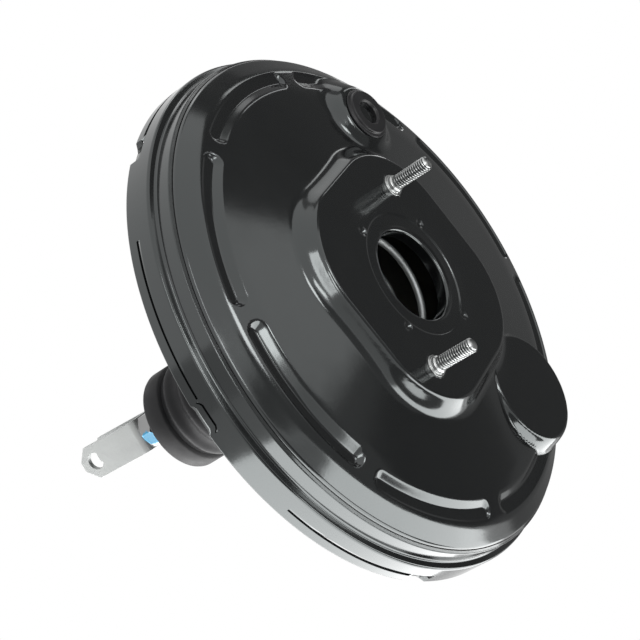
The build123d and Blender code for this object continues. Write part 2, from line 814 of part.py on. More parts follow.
os.makedirs("parts", exist_ok=True)
save("front_shell", make_front_shell())
save("rear_shell", make_rear_shell())
save("front_reinforcement_plate", make_front_stiffener())
save("rear_reinforcement_plate", make_rear_stiffener())
save("master_cylinder_studs", make_front_studs())
save("bulkhead_studs", make_rear_studs())
save("vacuum_grommet", make_grommet())
save("neck_seal", make_neck_seal())
save("neck_guide", make_neck_guide())
save("valve_body", make_valve_body())
save("diaphragm_plate", make_diaphragm_plate())
save("diaphragm", make_diaphragm())
save("diaphragm_retainer", make_diaphragm_retainer())
save("reaction_disc", make_reaction_disc())
save("output_rod", make_output_rod())
save("output_rod_retainer", make_output_rod_retainer())
save("return_spring", make_return_spring())
save("valve_plunger", make_plunger())
save("stop_key", make_stop_key())
save("poppet_valve", make_poppet())
save("poppet_retainer", make_poppet_retainer())
save("poppet_spring", make_poppet_spring())
save("rod_return_spring", make_rod_spring())
save("air_filter", make_filter_ring(silencer_length - tube_length + filter_length, filter_length))
save("silencer", make_filter_ring(silencer_length - tube_length, silencer_length))
save("boot", make_boot())
save("input_rod", make_input_rod())
save("clevis_locknut", make_locknut())
save("clevis", make_clevis())
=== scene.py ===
import json
import math

import bmesh
import bpy
import numpy as np
from mathutils import Matrix, Quaternion, Vector


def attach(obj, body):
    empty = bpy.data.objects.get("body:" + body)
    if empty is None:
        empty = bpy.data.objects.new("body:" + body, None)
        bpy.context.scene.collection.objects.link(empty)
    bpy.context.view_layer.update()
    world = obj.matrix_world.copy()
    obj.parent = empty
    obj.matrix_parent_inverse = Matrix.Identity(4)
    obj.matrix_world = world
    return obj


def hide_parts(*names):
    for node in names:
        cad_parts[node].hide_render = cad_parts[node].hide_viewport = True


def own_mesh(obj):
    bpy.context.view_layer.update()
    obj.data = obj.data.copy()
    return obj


# A gloss black vacuum brake booster. Shapes are worked out in millimetres along the drum's own axis: x to the
# right, y up the stud line and z forward from the bulkhead face. to_frame() turns them into the part's frame, in
# metres.

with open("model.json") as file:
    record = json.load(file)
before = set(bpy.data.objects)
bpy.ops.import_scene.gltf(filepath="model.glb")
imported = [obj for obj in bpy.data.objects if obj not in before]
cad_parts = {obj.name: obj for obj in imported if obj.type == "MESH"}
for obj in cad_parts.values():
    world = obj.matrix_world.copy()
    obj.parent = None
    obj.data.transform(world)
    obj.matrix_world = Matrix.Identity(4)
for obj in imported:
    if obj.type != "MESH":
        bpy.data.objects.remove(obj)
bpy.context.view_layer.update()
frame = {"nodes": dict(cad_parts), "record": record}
MM = 0.001

# Camera, fitted to the photograph
camera_place = (-0.8154, -0.6775, -0.5318)
camera_right = (0.6862, -0.7030, -0.1865)
camera_up = (-0.2186, -0.4439, 0.8689)
camera_back = (-0.6936, -0.5556, -0.4583)
camera_lens = 122.16
sensor_width = 36.0

# Side of the drum, from the rear edge to the rim
front_wall = 1.6
drum_radius = 150.0
upper_radius = 145.8
rim_radius = 144.6
rim_groove_depth = 0.9
rear_edge_z = 37.0
edge_round = 0.8
lower_step_z = 52.2
upper_band_z = 55.0
rim_step_z = 63.3
rim_wall_z = 64.6
ledge = 1.2
side_end_radius = 141.0
side_rounds = (1.6, 1.6, 0.6, 0.5, 2.2)

# Shoulder, ring and rising face
shoulder_z = 66.2
knuckle_radius = 133.7
knuckle_z = 73.4
knuckle_blend = 1.0
crest_radius = 118.0
crest_z = 77.5
crest_blend = 0.5
face_slope = 6.5 / 41.0

# Pressed channels, eight round the face, of which one lies nearer to the centre
channel_pitch = math.pi / 4
channel_radius = 128.5
channel_turn = math.radians(-1.3)
channel_half_angle = math.radians(19.3)
channel_floor_half = 3.0
channel_floor_z = crest_z - 4.2
channel_floor_blend = 0.6
channel_slope = 0.8
inner_channel = -3
inner_channel_shift = 2.6
inner_edge, outer_edge = 0.6, 0.5
edge_change = (-1.0, 2.0)

# Platform with its hole, land, dimples and stud seats
platform_z = 92.6
platform_half = 64.4
platform_corner = 45.4
platform_slope = 1.23
platform_edge, platform_foot = 1.8, 4.0
hole_radius = 26.1
collar_depth = 7.0
collar_lip = 1.8
collar_round = 1.5
land_radius = 35.5
land_depth = 0.5
land_edge = 0.6
dimple_count = 4
dimple_turn = 66
dimple_circle = 38.5
dimple_radius = 3.4
dimple_depth = 1.1
stud_spacing = 109.72
seat_radius = 6.8
seat_depth = 0.3
seat_edge = 0.3

# Round bulge, and the boss of the vacuum port
bulge_x, bulge_y = 93.0, -42.0
bulge_radius = 32.0
bulge_top_z = 84.5
bulge_slope, bulge_edge, bulge_foot = 3.0, 6.0, 2.0
port_y = 105.0
boss_radius = 17.0
boss_top_z = 86.0
boss_slope, boss_edge, boss_foot = 1.0, 2.4, 4.0

# Grid of the front shell, whose slots, windows and tabs are counted in its rows and columns
shell_columns = 720
slot_count = 6
slot_pitch = shell_columns // slot_count
slot_first_column = 357
slot_columns = 66
window_columns = 13
slot_row = 7
window_row = 5
rear_rows_z = (39.0, 39.8, 41.0, 41.8, 42.5)
slot_high_z = 44.8
edge_leans = (1.0, 0.7)
tab_push = 3.8
tab_foot_share = 0.8
tab_flank_columns = 1.5
tab_reach = 2.0
face_bands = ((140.0, 132.0, 1.0), (132.0, 108.0, 0.8), (108.0, 80.0, 1.4), (80.0, 56.0, 0.8),
              (56.0, 38.0, 1.6), (38.0, 34.0, 0.5), (34.0, hole_radius + collar_lip, 1.2))

# Rear shell
rear_wall = 1.8
rear_rim_radius = 148.2
rear_rim_z = 45.0
dish_radius = 138.0
dish_z = 31.0
dish_wall_rise = 1.2
cone_radius = 84.0
cone_wall_shift = 0.6
neck_radius = 25.5
neck_end_z = -38.0
neck_lip_radius = 21.1
neck_mouth_radius = 22.8

# Studs and their threads
stud_radius = 4.0
thread_pitch = 1.5
thread_depth_share = 0.61
thread_crest_gain = 1.25
thread_steepness = 1.6
thread_chamfer_depth = 1.25
thread_chamfer_slope = 1.1
thread_rows = 10
thread_columns = 40
front_stud_reach = 25.5
front_thread_start = 4.4
front_head_z = 85.5
head_radius = 8.0
head_thickness = 3.0
stud_foot_radius = 6.2
stud_neck_radius = 4.9
stud_neck_height = 2.4
rear_stud_x, rear_stud_y = 40.0, 30.0
rear_stud_end_z = -22.0
rear_head_z = 4.3

# Vacuum grommet, by its radii
grommet_bore = 6.5
grommet_neck = 10.85
grommet_tail = 13.2
grommet_flange = 15.0
grommet_back_z = 81.4
grommet_top_z = 89.0

# Springs, along z: foot, end, radius at foot and end, wire and turns
return_spring_form = (27.3, 88.4, 32.0, 32.0, 4.0, 4.6)
poppet_spring_form = (-29.4, -20.1, 8.6, 8.6, 1.0, 4)
rod_spring_form = (-52.2, -38.3, 8.8, 11.8, 1.6, 4)
spring_steps = 48
dead_share = 0.08
soft_start_share = 0.25

# Dust boot
boot_front_z = -3.0
boot_front_radius = 27.2
boot_fold_start = -9.0
boot_fold_end = -76.0
boot_folds = 6
boot_fold_power = 1.4
boot_fold_steps = 14
boot_valley_radius = 27.5
boot_fold_depth = 2.4
boot_wall = 1.8
boot_band_radius = 30.0
boot_end_z = -89.0
boot_end_flat_radius = 12.0
boot_rod_radius = 10.3
boot_sleeve_radius = 19.0
boot_sleeve_z = -80.5

# Pedal rod, lock nut and fork, drawn straight and then turned and tipped as they hang
rod_tilt = math.radians(2.6)
fork_turn = math.radians(36.5)
ball_z = -8.0
ball_radius = 5.0
rod_neck_radius = 4.0
rod_radius = 6.0
rod_hole_radius = 6.05
rod_seat_radius = 9.8
rod_seat_thickness = 1.5
rod_front_z = -12.0
rod_neck_end_z = -30.0
rod_spring_seat_z = -53.2
rod_shank_end_z = -94.0
rod_thread_end_z = -123.5
fork_base_z = -112.5
fork_end_z = -162.3
fork_half = 9.5
fork_side_half = 10.0
fork_clip_height = 7.3
fork_tip_half = 2.9
fork_wall = 3.0
fork_bend = 5.0
fork_bevel = 0.45
pin_z = -151.8
pin_radius = 5.2
nut_half = 9.5
nut_height = 8.5
nut_face_radius = 9.6
nut_corner_radius = 11.2
nut_chamfer = 1.1
nut_bevel = 0.25

# Blue paint mark on the nut, in the part's frame and in metres
mark_place = (-0.0085, 0.1085, -0.0062)
mark_inner, mark_outer = 0.0068, 0.0078
mark_raggedness = 0.004


def to_frame(points):
    """Axis coordinates in millimetres to the part's frame in metres."""
    points = np.asarray(points, float)
    return np.stack([points[..., 0], -points[..., 2], points[..., 1]], -1) * MM


def link(name, mesh):
    piece = bpy.data.objects.new(name, mesh)
    bpy.context.scene.collection.objects.link(piece)
    return piece


def smooth_by_angle(mesh, degrees=35.0):
    """Smooth shading with sharp edges only where faces meet steeply."""
    mesh.shade_smooth()
    mesh.set_sharp_from_angle(angle=math.radians(degrees))


def make_mesh(name, points, faces, degrees=35.0):
    mesh = bpy.data.meshes.new(name)
    mesh.from_pydata([tuple(p) for p in np.asarray(points).reshape(-1, 3)], [], faces)
    mesh.update()
    smooth_by_angle(mesh, degrees)
    return link(name, mesh)


def grid_faces(rows, columns, closed=True, flip=False):
    """Quads of a grid whose columns may close into a ring."""
    last = columns if closed else columns - 1
    faces = []
    for row in range(rows - 1):
        for column in range(last):
            a = row * columns + column
            b = row * columns + (column + 1) % columns
            quad = (a, b, b + columns, a + columns)
            faces.append(quad[::-1] if flip else quad)
    return faces


def rounded(points, radii, steps=5):
    """Outline with each inner corner replaced by an arc of its radius."""
    line = [points[0]]
    for before, corner, after, radius in zip(points, points[1:], points[2:], radii):
        p, c, q = (np.array(v, float) for v in (before, corner, after))
        a, b = (p - c) / np.linalg.norm(p - c), (q - c) / np.linalg.norm(q - c)
        half = math.acos(max(-1.0, min(1.0, a @ b))) / 2
        if radius <= 0 or abs(half - math.pi / 2) < 0.01:
            line.append(tuple(c))
            continue
        reach = radius / math.tan(half)
        centre = c + (a + b) / np.linalg.norm(a + b) * radius / math.sin(half)
        start, end = c + a * reach - centre, c + b * reach - centre
        sweep = math.pi - 2 * half
        for step in range(steps + 1):
            t = step / steps
            mix = (start * math.sin((1 - t) * sweep) + end * math.sin(t * sweep)) / math.sin(sweep)
            line.append(tuple(centre + mix))
    line.append(points[-1])
    return line


def arc_points(centre, radius, start, end, steps):
    """Points of an arc from one turn to another, in degrees."""
    turns = [math.radians(start + (end - start) * k / steps) for k in range(steps + 1)]
    return [(centre[0] + radius * math.cos(t), centre[1] + radius * math.sin(t)) for t in turns]


def turned(name, outline, columns=128, degrees=35.0, centre=(0.0, 0.0), closed=True):
    """Surface of revolution about z of an outline of (radius, z) points, closed on itself if asked."""
    outline = np.array(outline, float)
    angles = np.linspace(0, 2 * math.pi, columns, endpoint=False)
    ring = np.stack([np.cos(angles), np.sin(angles)], -1)
    points = np.zeros((len(outline), columns, 3))
    points[..., :2] = outline[:, None, :1] * ring[None] + np.array(centre)
    points[..., 2] = outline[:, None, 1]
    rows = len(outline)
    faces = grid_faces(rows, columns, flip=True)
    if closed:
        last = (rows - 1) * columns
        for column in range(columns):
            following = (column + 1) % columns
            faces.append((last + column, following + last, following, column)[::-1])
    piece = make_mesh(name, to_frame(points), faces, degrees)
    mesh = bmesh.new()
    mesh.from_mesh(piece.data)
    bmesh.ops.remove_doubles(mesh, verts=mesh.verts, dist=1e-7)
    bmesh.ops.recalc_face_normals(mesh, faces=mesh.faces)
    mesh.to_mesh(piece.data)
    mesh.free()
    smooth_by_angle(piece.data, degrees)
    return piece


def solid(name, form, place=None):
    """Object of the points and faces of a closed form, moved by a matrix if one is given."""
    points, faces = form
    mesh = bpy.data.meshes.new(name)
    mesh.from_pydata([tuple(p) for p in points], [], faces)
    if place is not None:
        mesh.transform(place)
    return link(name, mesh)


def prism(outline, low, high):
    """Points and faces of a closed prism over a flat outline, from low to high along the third axis."""
    count = len(outline)
    points = [(a, b, low) for a, b in outline] + [(a, b, high) for a, b in outline]
    faces = [tuple(range(count))[::-1], tuple(range(count, 2 * count))]
    for index in range(count):
        following = (index + 1) % count
        faces.append((index, following, following + count, index + count))
    return points, faces


def apply_modifiers(piece):
    """Replace the mesh by its evaluated one and drop the modifiers."""
    graph = bpy.context.evaluated_depsgraph_get()
    mesh = bpy.data.meshes.new_from_object(piece.evaluated_get(graph))
    piece.modifiers.clear()
    piece.data = mesh
    return piece


def combine(piece, other, operation):
    """Boolean of two solids; the other one is used up."""
    step = piece.modifiers.new(operation, "BOOLEAN")
    step.object = other
    step.operation = operation
    step.solver = "EXACT"
    apply_modifiers(piece)
    bpy.data.objects.remove(other)
    return piece


def bevelled(piece, width, segments=3, degrees=30.0):
    """Round the steep edges."""
    step = piece.modifiers.new("bevel", "BEVEL")
    step.width = width
    step.segments = segments
    step.limit_method = "ANGLE"
    step.angle_limit = math.radians(degrees)
    step.harden_normals = True
    piece.data.shade_smooth()
    return apply_modifiers(piece)


def join(name, pieces):
    """Join finished pieces into one mesh."""
    mesh = bmesh.new()
    for piece in pieces:
        mesh.from_mesh(piece.data)
    joined = bpy.data.meshes.new(name)
    mesh.to_mesh(joined)
    mesh.free()
    for piece in pieces:
        bpy.data.objects.remove(piece)
    smooth_by_angle(joined, 45.0)
    return link(name, joined)


def smooth_low(a, b, width):
    """Lower of two heights with a rounded change-over."""
    mix = np.clip(0.5 + 0.5 * (b - a) / width, 0, 1)
    return b * (1 - mix) + a * mix - width * mix * (1 - mix)


def smooth_high(a, b, width):
    """Higher of two heights with a rounded change-over."""
    return -smooth_low(-a, -b, width)


def ease(t):
    """Smooth step from 0 to 1."""
    t = np.clip(t, 0, 1)
    return t * t * (3 - 2 * t)


# Face of the drum

def base_height(radius):
    """Steep shoulder, the flatter ring that holds the channels, and the gently rising face."""
    shoulder = shoulder_z + (rim_radius - radius) * (knuckle_z - shoulder_z) / (rim_radius - knuckle_radius)
    ring = knuckle_z + (knuckle_radius - radius) * (crest_z - knuckle_z) / (knuckle_radius - crest_radius)
    face = crest_z + (crest_radius - radius) * face_slope
    return smooth_low(smooth_low(shoulder, ring, knuckle_blend), face, crest_blend)


def base_at(radius):
    return float(base_height(np.array(float(radius))))


def channel_distance(x, y):
    """Distance to the nearest channel's centre line."""
    angle = np.arctan2(y, x) - channel_turn
    index = np.round(angle / channel_pitch)
    local = angle - index * channel_pitch
    radius = np.hypot(x, y)
    end = channel_half_angle - channel_floor_half / channel_radius
    clipped = np.clip(local, -end, end)
    line_radius = np.where(index == inner_channel, channel_radius - inner_channel_shift, channel_radius)
    px, py = line_radius * np.cos(clipped), line_radius * np.sin(clipped)
    return np.hypot(radius * np.cos(local) - px, radius * np.sin(local) - py)


def diamond_distance(x, y):
    """Signed distance to the platform's rounded diamond."""
    turn = math.sqrt(0.5)
    straight = platform_half - platform_corner
    du = np.abs((x + y) * turn) - straight
    dv = np.abs((y - x) * turn) - straight
    outside = np.hypot(np.maximum(du, 0), np.maximum(dv, 0))
    return outside + np.minimum(np.maximum(du, dv), 0) - platform_corner


def raised(distance, top, slope, edge):
    """Height of a raised form whose flank falls away from its outline."""
    return smooth_low(np.full_like(distance, top), top - slope * distance, edge)


def add_channels(height, x, y):
    """Press the channels into the face."""
    radius = np.hypot(x, y)
    trough = channel_floor_z + channel_slope * (channel_distance(x, y) - channel_floor_half)
    trough = smooth_high(np.full_like(trough, channel_floor_z), trough, channel_floor_blend)
    edge = np.interp(radius - channel_radius, edge_change, (inner_edge, outer_edge))
    return smooth_low(height, trough, edge)


def add_raised_forms(height, x, y):
    """Platform, bulge and the boss of the vacuum port, each with its rounded foot."""
    platform = raised(diamond_distance(x, y), platform_z, platform_slope, platform_edge)
    height = smooth_high(height, platform, platform_foot)
    bulge = raised(np.hypot(x - bulge_x, y - bulge_y) - bulge_radius, bulge_top_z, bulge_slope, bulge_edge)
    height = smooth_high(height, bulge, bulge_foot)
    boss = raised(np.hypot(x, y - port_y) - boss_radius, boss_top_z, boss_slope, boss_edge)
    return smooth_high(height, boss, boss_foot)


def sunk(distance, radius, depth, edge):
    """Depth of a round sunk form with a softened edge."""
    return depth * (1 - ease((distance - radius + edge) / (2 * edge)))


def face_height(x, y):
    """Height of the outer surface over the face."""
    radius = np.hypot(x, y)
    height = add_raised_forms(add_channels(base_height(radius), x, y), x, y)
    height = height - sunk(radius, land_radius, land_depth, land_edge)
    for index in range(dimple_count):
        angle = math.radians(dimple_turn + 360 / dimple_count * index)
        dimple = np.hypot(x - dimple_circle * math.cos(angle), y - dimple_circle * math.sin(angle))
        height = height - dimple_depth * (1 - ease(dimple / dimple_radius))
    seat = np.hypot(x, np.abs(y) - stud_spacing / 2)
    return height - sunk(seat, seat_radius, seat_depth, seat_edge)


def face_normal(x, y, step=0.04):
    """Outward normal of the face from its slopes."""
    slope_x = (face_height(x + step, y) - face_height(x - step, y)) / (2 * step)
    slope_y = (face_height(x, y + step) - face_height(x, y - step)) / (2 * step)
    normal = np.stack([-slope_x, -slope_y, np.ones_like(slope_x)], -1)
    return normal / np.linalg.norm(normal, axis=-1, keepdims=True)


# Front shell

def spaced(start, end, step):
    """Values from start to just before end, about a step apart."""
    count = max(2, int(round(abs(end - start) / step)))
    return list(np.linspace(start, end, count, endpoint=False))


def side_outline():
    """Meridian of the side, from the rear edge to just inside the rim, with rows at the slot's edges."""
    low = [(drum_radius - edge_round, rear_edge_z), (drum_radius - edge_round / 4, rear_edge_z + edge_round / 4)]
    low += [(drum_radius, z) for z in (rear_edge_z + edge_round, *rear_rows_z)]
    corners = [(drum_radius, slot_high_z), (drum_radius, lower_step_z + ledge),
               (upper_radius, upper_band_z - ledge / 3), (upper_radius, rim_step_z + ledge / 2),
               (rim_radius - rim_groove_depth, rim_wall_z - ledge / 3), (rim_radius, shoulder_z),
               (side_end_radius, base_at(side_end_radius))]
    return low + rounded(corners, side_rounds, 6)


def collar_outline():
    """Meridian of the rolled collar of the centre hole."""
    lip_z = platform_z - land_depth
    end = (hole_radius, lip_z - collar_depth)
    lip = rounded([(hole_radius + collar_lip, lip_z), (hole_radius, lip_z), end], [collar_round], 6)
    return lip[:-1] + [(hole_radius, lip_z - collar_depth / 2), end]


def slot_starts():
    """First column of each slot."""
    return [slot_first_column + index * slot_pitch for index in range(slot_count)]


def tab_profile():
    """Share of the inward push for each column: 1 over a tab, falling to 0 at its sides."""
    push = np.zeros(shell_columns)
    for start in slot_starts():
        for step in range(window_columns + 1):
            edge = min(step, window_columns - step)
            push[(start + slot_columns + 1 + step) % shell_columns] = min(1.0, edge / tab_flank_columns)
    return push


def push_tabs(x, y, z, cosine, sine):
    """Bend the tabs inward behind the windows and let them reach a little further back."""
    push = tab_profile()
    for row in range(window_row + 1):
        inward = tab_push * push * (1.0 if row < window_row else tab_foot_share)
        x[row] -= inward * cosine
        y[row] -= inward * sine
    z[:2] -= tab_reach * push


def kept_quads(rows):
    """Quads of the shell's grid that stay: all but the slots and the windows beside them."""
    keep = np.ones((rows, shell_columns), bool)
    for start in slot_starts():
        window_start = start + slot_columns + 1
        slot = np.arange(start, start + slot_columns) % shell_columns
        window = np.arange(window_start, window_start + window_columns) % shell_columns
        keep[slot_row, slot] = False
        keep[window_row:slot_row + 1, window] = False
    return keep


def turned_normals(outline, cosine, sine):
    """Outward normals of a turned meridian: level along the rear band and leaning back at its rounded edge."""
    tangent = np.gradient(outline, axis=0)
    flat = np.stack([tangent[:, 1], -tangent[:, 0]], -1)
    flat /= np.linalg.norm(flat, axis=1, keepdims=True)
    flat[:slot_row + 1] = (1.0, 0.0)
    for row, lean in enumerate(edge_leans):
        flat[row] = np.array((1.0, -lean)) / math.hypot(1.0, lean)
    return np.stack([flat[:, :1] * cosine, flat[:, :1] * sine, np.repeat(flat[:, 1:], len(cosine), 1)], -1)


def make_front_shell():
    """Pressed front half with its true wall, channels, platform, bosses, slots and tabs."""
    side = side_outline()
    rows = [(radius, base_at(radius)) for band in face_bands for radius in spaced(*band)]
    outline = np.array(side + rows + collar_outline())
    face = slice(len(side), len(side) + len(rows))
    angles = np.linspace(0, 2 * math.pi, shell_columns, endpoint=False)
    cosine, sine = np.cos(angles), np.sin(angles)
    x, y = outline[:, :1] * cosine, outline[:, :1] * sine
    z = np.repeat(outline[:, 1:], shell_columns, axis=1)
    z[face] = face_height(x[face], y[face])
    normals = turned_normals(outline, cosine, sine)
    normals[face] = face_normal(x[face], y[face])
    push_tabs(x, y, z, cosine, sine)
    keep = kept_quads(len(outline) - 1)
    return sheet_solid("front_shell_pressing", np.stack([x, y, z], -1), normals, front_wall, keep)


def outer_quads(keep):
    """Quads of a grid closed into a ring, where they are kept."""
    rows, columns = keep.shape
    quads = []
    for row in range(rows):
        for column in range(columns):
            if keep[row, column]:
                a, b = row * columns + column, row * columns + (column + 1) % columns
                quads.append((a, b, b + columns, a + columns))
    return quads


def open_edges(quads):
    """Edges that belong to one quad only, in that quad's direction."""
    edges = {edge: True for quad in quads for edge in zip(quad, quad[1:] + quad[:1])}
    return [(start, end) for start, end in edges if (end, start) not in edges]


def sheet_solid(name, points, normals, wall, keep):
    """Closed sheet from an outer grid: the inner side lies a wall behind it and every open edge is closed."""
    count = points.shape[0] * points.shape[1]
    quads = outer_quads(keep)
    faces = quads + [(a + count, d + count, c + count, b + count) for a, b, c, d in quads]
    faces += [(end, start, start + count, end + count) for start, end in open_edges(quads)]
    inner = points - normals * wall
    both = to_frame(np.concatenate([points.reshape(-1, 3), inner.reshape(-1, 3)]))
    mesh = bpy.data.meshes.new(name)
    mesh.from_pydata([tuple(p) for p in both], [], faces)
    mesh.update()
    mesh.shade_smooth()
    set_sheet_normals(mesh, normals, 2 * len(quads))
    return link(name, mesh)


def set_sheet_normals(mesh, normals, sheet_faces):
    """Give both sides of a sheet their worked-out normals and its rims their own."""
    flat = to_frame(np.concatenate([normals.reshape(-1, 3), -normals.reshape(-1, 3)])) / MM
    loops = np.zeros(len(mesh.loops), np.int64)
    mesh.loops.foreach_get("vertex_index", loops)
    corner_normals = flat[loops]
    rim_normals = np.array([tuple(face.normal) for face in mesh.polygons[sheet_faces:]])
    corner_normals[4 * sheet_faces:] = np.repeat(rim_normals, 4, axis=0)
    mesh.normals_split_custom_set([tuple(n) for n in corner_normals])


def make_rear_shell():
    """Pressed rear half, turned with rounded bends."""
    outer = [(rear_rim_radius, rear_rim_z), (dish_radius, rear_rim_z), (dish_radius, dish_z), (cone_radius, 0.0),
             (neck_radius, 0.0), (neck_radius, neck_end_z), (neck_lip_radius, neck_end_z)]
    neck_bore = neck_radius - rear_wall
    dish_bore = dish_radius - rear_wall
    inner = [(neck_mouth_radius, neck_end_z + rear_wall), (neck_bore, neck_end_z + rear_wall),
             (neck_bore, rear_wall), (cone_radius - cone_wall_shift, rear_wall),
             (dish_bore, dish_z + dish_wall_rise), (dish_bore, rear_rim_z + rear_wall),
             (rear_rim_radius, rear_rim_z + rear_wall)]
    line = rounded(outer, [2.4, 6.0, 8.0, 3.4, 1.2], 8) + rounded(inner, [0.3, 1.6, 9.8, 4.2, 0.6], 8)
    return turned("rear_shell_pressing", line, 240, 40.0)


# Studs, grommet and springs

def thread_bar(name, radius, low, high, x=0.0, y=0.0, plain_to=-math.inf):
    """Threaded bar along z: a fine grid whose radius follows the helix, with chamfered ends."""
    depth = thread_depth_share * thread_pitch
    columns = thread_columns
    count = int((high - low) / thread_pitch * thread_rows)
    heights = np.linspace(low, high, count)
    angles = np.linspace(0, 2 * math.pi, columns, endpoint=False)
    phase = (heights[:, None] / thread_pitch - angles[None] / (2 * math.pi)) % 1.0
    wave = np.clip(thread_crest_gain * (1 - np.abs(2 * phase - 1) * thread_steepness), 0, 1)
    wave[heights <= plain_to] = 0.0
    to_end = np.minimum(heights - low, high - heights)[:, None]
    chamfered = radius - depth * thread_chamfer_depth + to_end * thread_chamfer_slope
    radii = np.minimum(radius - depth * wave, chamfered)
    points = np.stack([x + radii * np.cos(angles), y + radii * np.sin(angles),
                       np.repeat(heights[:, None], columns, 1)], -1)
    points = np.concatenate([points.reshape(-1, 3), [[x, y, low], [x, y, high]]])
    faces = grid_faces(count, columns)
    bottom, top, last = count * columns, count * columns + 1, (count - 1) * columns
    for column in range(columns):
        following = (column + 1) % columns
        faces += [(bottom, following, column), (top, last + column, last + following)]
    piece = make_mesh(name, to_frame(points), faces, 50.0)
    # The thread's wave is kept as an attribute that paints shade into the grooves of the steel's colour.
    painted_groove_shade = piece.data.attributes.new("painted_groove_shade", "FLOAT", "POINT")
    painted_groove_shade.data.foreach_set("value", np.append(wave.reshape(-1), [0.0, 0.0]).astype(np.float32))
    return piece


def stud_head(face, back, shank_end, x, y):
    """Round head of a stud, from its outer face to its back, with the plain shank that runs on to shank_end."""
    line = [(0.0, face), (head_radius, face), (head_radius, back), (stud_radius, back), (stud_radius, shank_end)]
    return turned("head", rounded(line, [0.6, 0.4, 0], 3), 32, 30.0, (x, y), closed=False)


def make_front_studs():
    """Two threaded studs with their stepped necks and heads."""
    made = []
    foot, neck = platform_z - 0.3, platform_z + stud_neck_height
    line = [(0.0, foot), (stud_foot_radius, foot), (stud_foot_radius, platform_z + 0.2),
            (stud_neck_radius, platform_z + 0.4), (stud_neck_radius, neck), (3.6, platform_z + 3.2)]
    line = rounded(line, [0.1, 0.2, 0.2, 0.5], 3)
    for side in (-1, 1):
        y = side * stud_spacing / 2
        made.append(thread_bar("thread", stud_radius, platform_z + 0.6, platform_z + front_stud_reach, y=y,
                               plain_to=platform_z + front_thread_start))
        made.append(turned("neck", line, 48, 30.0, (0.0, y), closed=False))
        made.append(stud_head(front_head_z, front_head_z + head_thickness, platform_z - 0.5, 0.0, y))
    return join("threaded_front_studs", made)


def make_rear_studs():
    """Four threaded studs on the bulkhead face."""
    made = []
    for x in (-rear_stud_x, rear_stud_x):
        for y in (-rear_stud_y, rear_stud_y):
            made.append(thread_bar("thread", stud_radius, rear_stud_end_z, 0.5, x=x, y=y))
            made.append(stud_head(rear_head_z + head_thickness, rear_head_z, 0.0, x, y))
    return join("threaded_rear_studs", made)


def make_grommet():
    """Rubber grommet with a rounded stepped lip."""
    top, under = grommet_top_z, boss_top_z - front_wall
    outline = [(grommet_bore, grommet_back_z), (grommet_tail, grommet_back_z), (grommet_tail, under),
               (grommet_neck, under), (grommet_neck, boss_top_z), (grommet_flange, boss_top_z),
               (grommet_flange, boss_top_z + 1.0), (13.4, boss_top_z + 1.6), (13.0, top), (7.8, top),
               (grommet_bore, top - 1.2)]
    line = rounded(outline + [outline[0]], [0.8, 0.8, 0.2, 0.2, 0.4, 0.5, 0.4, 0.9, 0.8, 0.8], 4)
    return turned("moulded_grommet", line[:-1], 96, 50.0, (0.0, port_y))


def make_spring(name, form, columns=12):
    """Round-wire coil whose pitch closes up towards its two ends."""
    start, end, start_radius, end_radius, wire, turns = form
    steps = int(turns * spring_steps)
    t = np.linspace(0, 1, steps)
    live = np.clip((t - dead_share) / (1 - 2 * dead_share), 0, 1)
    rise = ease(live) * soft_start_share + live * (1 - soft_start_share)
    z = start + wire / 2 + (end - start - wire) * rise
    angle = t * turns * 2 * math.pi
    radius = start_radius + (end_radius - start_radius) * t
    path = np.stack([radius * np.cos(angle), radius * np.sin(angle), z], -1)
    tangent = np.gradient(path, axis=0)
    tangent /= np.linalg.norm(tangent, axis=1, keepdims=True)
    outward = np.stack([np.cos(angle), np.sin(angle), np.zeros_like(angle)], -1)
    side = np.cross(tangent, outward)
    side /= np.linalg.norm(side, axis=1, keepdims=True)
    outward = np.cross(side, tangent)
    ring = np.linspace(0, 2 * math.pi, columns, endpoint=False)[None, :, None]
    points = path[:, None] + wire / 2 * (outward[:, None] * np.cos(ring) + side[:, None] * np.sin(ring))
    faces = grid_faces(steps, columns, flip=True)
    faces.append(tuple(range(columns)))
    faces.append(tuple((steps - 1) * columns + k for k in range(columns))[::-1])
    return make_mesh(name, to_frame(points), faces, 60.0)


def fold_line(valley, stride):
    """Folds of the boot from front to back, as (radius, z) points of one of its two sides."""
    steps = boot_folds * boot_fold_steps
    line = []
    for step in range(0, steps + 1, stride):
        z = boot_fold_start + (boot_fold_end - boot_fold_start) * step / steps
        crest = (0.5 - 0.5 * math.cos(2 * math.pi * step / boot_fold_steps)) ** boot_fold_power
        line.append((valley + boot_fold_depth * crest, z))
    return line


def make_boot():
    """Folded rubber boot with rounded folds, a rear band and an end wall."""
    band, end = boot_band_radius, boot_end_z
    front, lip_end = boot_front_z, boot_fold_start + 0.6
    lip = boot_front_radius + 1.0
    outer = [(boot_front_radius, front), (lip, front - 0.6), (lip, lip_end)] + fold_line(boot_valley_radius, 1)
    outer += [(band - 0.6, boot_fold_end - 0.8), (band, boot_fold_end - 1.6), (band, end + 1.4),
              (band - 0.4, end + 0.4), (band - 1.4, end), (boot_end_flat_radius, end),
              (boot_rod_radius, end + 0.4)]
    sleeve, sleeve_back, pocket_z = boot_sleeve_radius, boot_sleeve_radius + boot_wall, end + 3.8
    inner = [(boot_rod_radius, end + 2.5), (sleeve, end + 2.5), (sleeve, boot_sleeve_z),
             (sleeve_back, boot_sleeve_z), (sleeve_back, pocket_z), (band - boot_wall, pocket_z),
             (band - boot_wall, boot_fold_end - 2.0)]
    inner += fold_line(boot_valley_radius - boot_wall, 2)[::-1] + [(neck_radius, lip_end), (neck_radius, front)]
    return turned("folded_boot", outer + inner, 128, 50.0)


# Pedal rod, lock nut and fork

